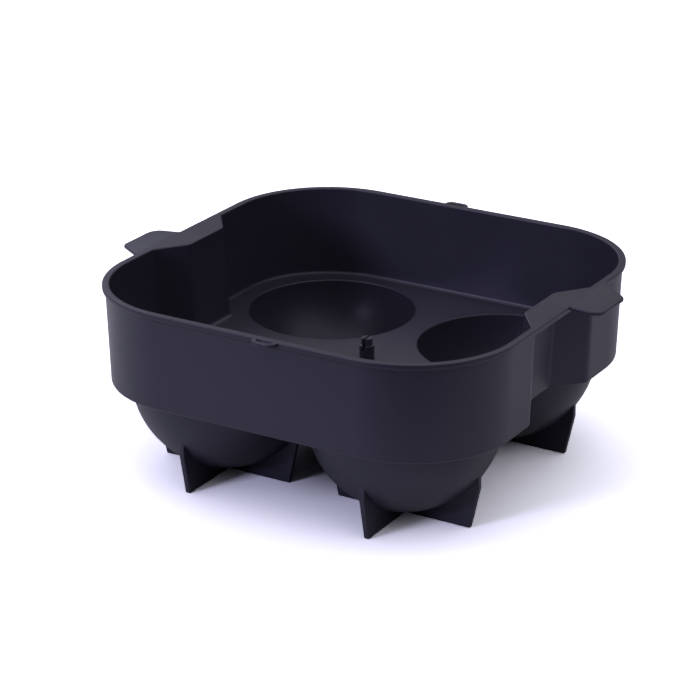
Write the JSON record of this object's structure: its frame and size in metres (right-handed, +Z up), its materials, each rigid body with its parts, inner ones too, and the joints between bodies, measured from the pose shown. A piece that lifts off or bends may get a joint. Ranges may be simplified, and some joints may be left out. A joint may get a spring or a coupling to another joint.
{
  "type": "ice ball mold",
  "caption": "Deep square tray with hemispherical cups on crossed fins, finger recesses, tab handles and rim loops: the lower half of a mould for round ice.",
  "frame": {"origin": "on the table, under the middle of the tray", "axes": "+X from handle to handle, -Y to the front, +Z up"},
  "size_m": [0.1298, 0.116, 0.0514],
  "materials": {
    "charcoal_plastic": "satin moulded, fine grain"
  },
  "bodies": {
    "root": {"front_wall": "charcoal_plastic", "back_wall": "charcoal_plastic", "left_wall": "charcoal_plastic", "right_wall": "charcoal_plastic", "corner_front_left": "charcoal_plastic", "corner_front_right": "charcoal_plastic", "corner_back_left": "charcoal_plastic", "corner_back_right": "charcoal_plastic", "rim_bead_front": "charcoal_plastic", "rim_bead_back": "charcoal_plastic", "deck": "charcoal_plastic", "cup_front_left": "charcoal_plastic", "cup_front_right": "charcoal_plastic", "cup_back_left": "charcoal_plastic", "cup_back_right": "charcoal_plastic", "foot_front_left": "charcoal_plastic", "foot_front_right": "charcoal_plastic", "foot_back_left": "charcoal_plastic", "foot_back_right": "charcoal_plastic", "handle_left": "charcoal_plastic", "handle_right": "charcoal_plastic", "loop_front": "charcoal_plastic", "loop_back": "charcoal_plastic", "centre_post": "charcoal_plastic"}
  },
  "joints": []
}
